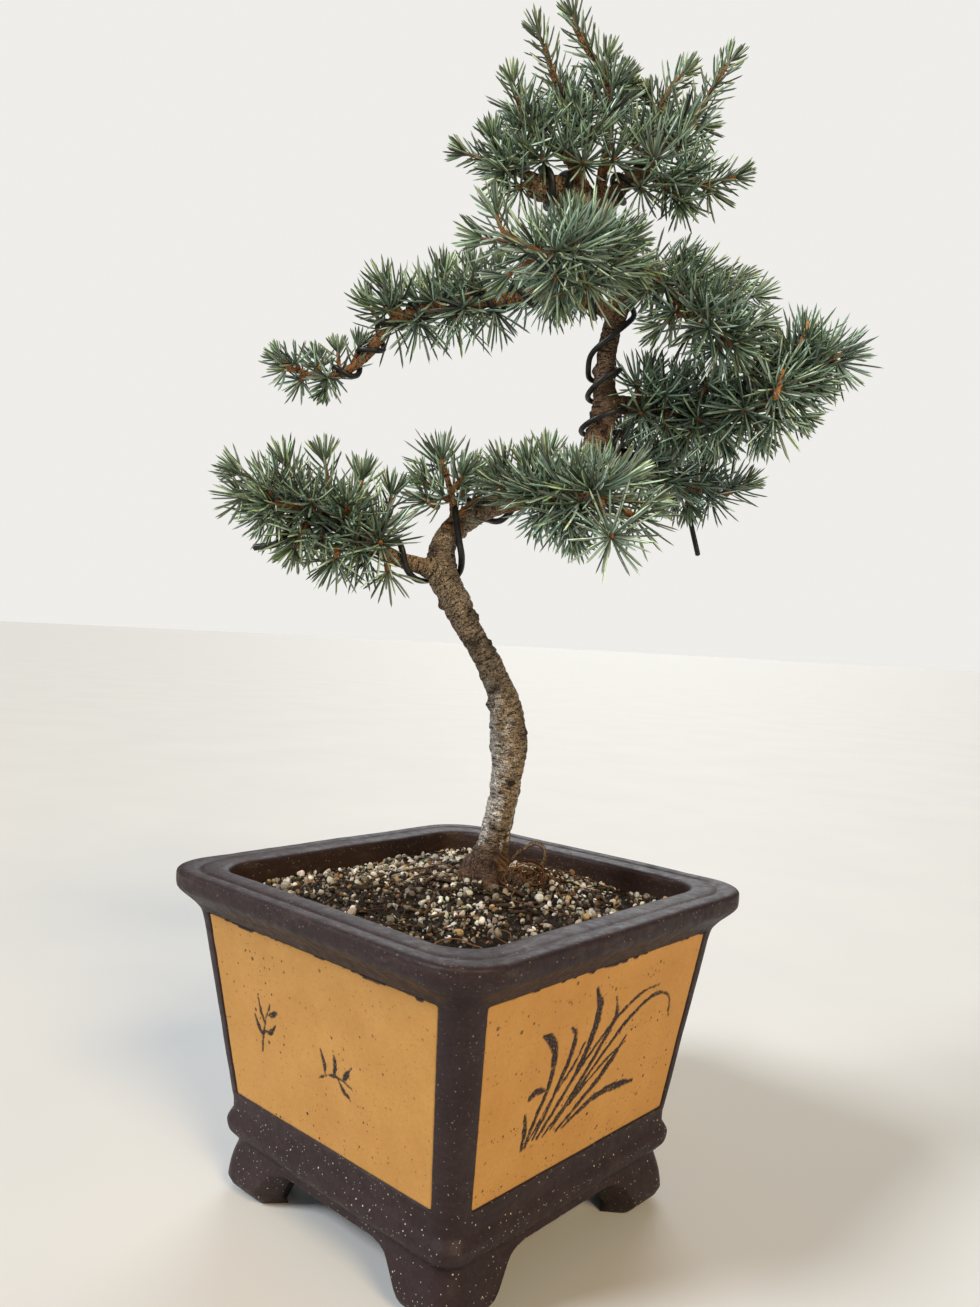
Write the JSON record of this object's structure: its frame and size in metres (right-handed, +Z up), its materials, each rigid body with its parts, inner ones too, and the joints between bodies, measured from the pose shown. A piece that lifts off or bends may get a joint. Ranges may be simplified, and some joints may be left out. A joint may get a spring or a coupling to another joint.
{
  "type": "potted bonsai tree",
  "caption": "Wired blue cedar bonsai with an S-shaped trunk and needle pads, in a square footed clay pot with pale inlaid side panels and granular soil.",
  "frame": {"origin": "under the middle of the whole object's box, on the surface that the pot's feet stand on", "axes": "+Z up; X and Y run along the pot's sides; the tree's own left and right lie along the pot's diagonal, from -X-Y to +X+Y"},
  "size_m": [0.2152, 0.2218, 0.496],
  "materials": {
    "clay": "matte",
    "slip": "matte",
    "mesh_plastic": "matte",
    "wire": "satin",
    "soil": "matte",
    "bark": "matte",
    "needle": "satin"
  },
  "bodies": {
    "root": {"pot_body": "clay", "panel_front_left": "slip", "panel_front_right": "slip", "panel_back_right": "slip", "panel_back_left": "slip", "drain_mesh": "mesh_plastic", "mesh_staple": "wire", "soil_mass": "soil", "tree_wood": "bark", "wire_trunk_high": "wire", "wire_trunk_low": "wire", "wire_lower_left": "wire", "wire_upper_left": "wire", "wire_back_low": "wire", "wire_right_low": "wire", "wire_stub": "wire", "wire_apex_right": "wire", "needles_lower_left": "needle", "needles_low_spur": "needle", "needles_front_low": "needle", "needles_back_low": "needle", "needles_upper_left": "needle", "needles_left_tip": "needle", "needles_front_high": "needle", "needles_back_high": "needle", "needles_right_high": "needle", "needles_right_low": "needle", "needles_right_end": "needle", "needles_apex_left": "needle", "needles_apex_top": "needle", "needles_apex_right": "needle", "needles_apex_low": "needle"}
  },
  "joints": []
}
